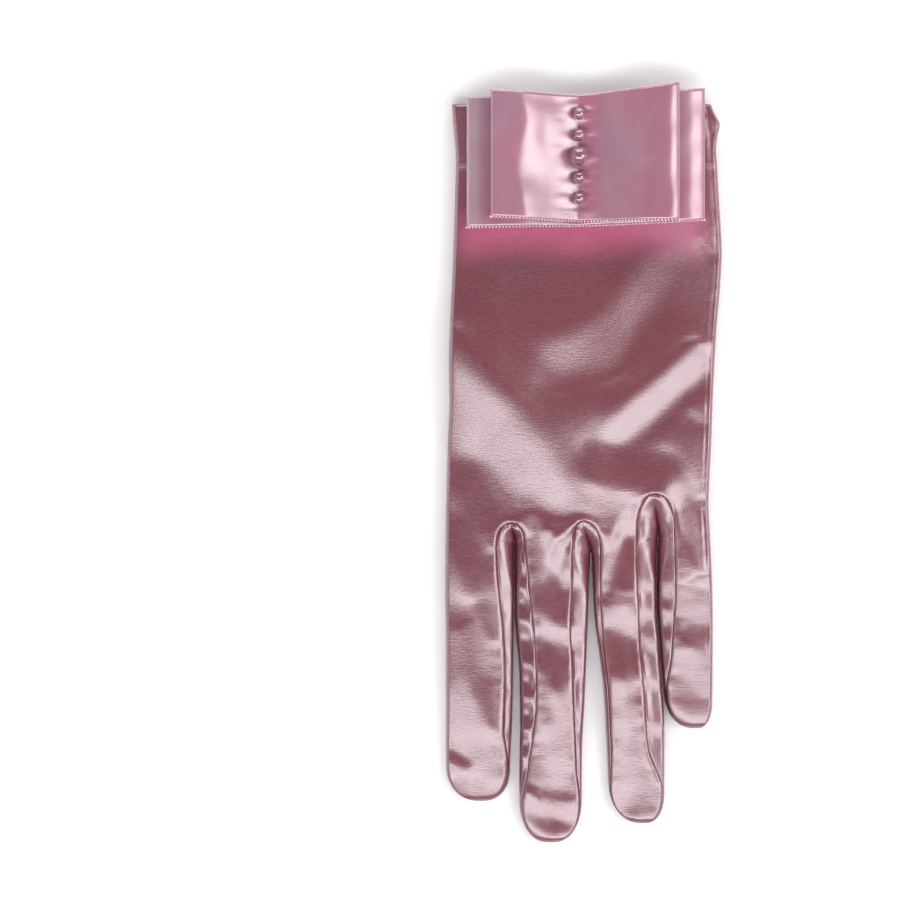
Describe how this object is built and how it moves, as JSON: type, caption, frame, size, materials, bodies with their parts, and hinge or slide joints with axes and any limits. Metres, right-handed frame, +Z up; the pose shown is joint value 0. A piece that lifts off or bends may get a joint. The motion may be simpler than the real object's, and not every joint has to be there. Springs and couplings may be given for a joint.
{
  "type": "wrist length dress glove",
  "caption": "Flat-lying satin dress glove for the left hand, wrist length, with sewn fourchettes and a pearl-set double ribbon bow at the cuff.",
  "frame": {"origin": "middle of the glove's bounding box, on the table that it lies on", "axes": "+X towards the little finger's side, +Y towards the cuff, +Z up out of the back of the hand"},
  "size_m": [0.0866, 0.2372, 0.0209],
  "materials": {
    "satin": "dusty rose stretch satin with a strong soft sheen",
    "ribbon": "paler pink satin ribbon with finely woven edges",
    "pearl": "glossy pink imitation pearl"
  },
  "bodies": {
    "root": {"trank": "satin", "fourchette_index_middle": "satin", "fourchette_middle_ring": "satin", "fourchette_ring_little": "satin", "thumb": "satin", "bow_loop_back": "ribbon", "bow_loop_front": "ribbon", "pearl_1": "pearl", "pearl_2": "pearl", "pearl_3": "pearl", "pearl_4": "pearl", "pearl_5": "pearl"}
  },
  "joints": []
}
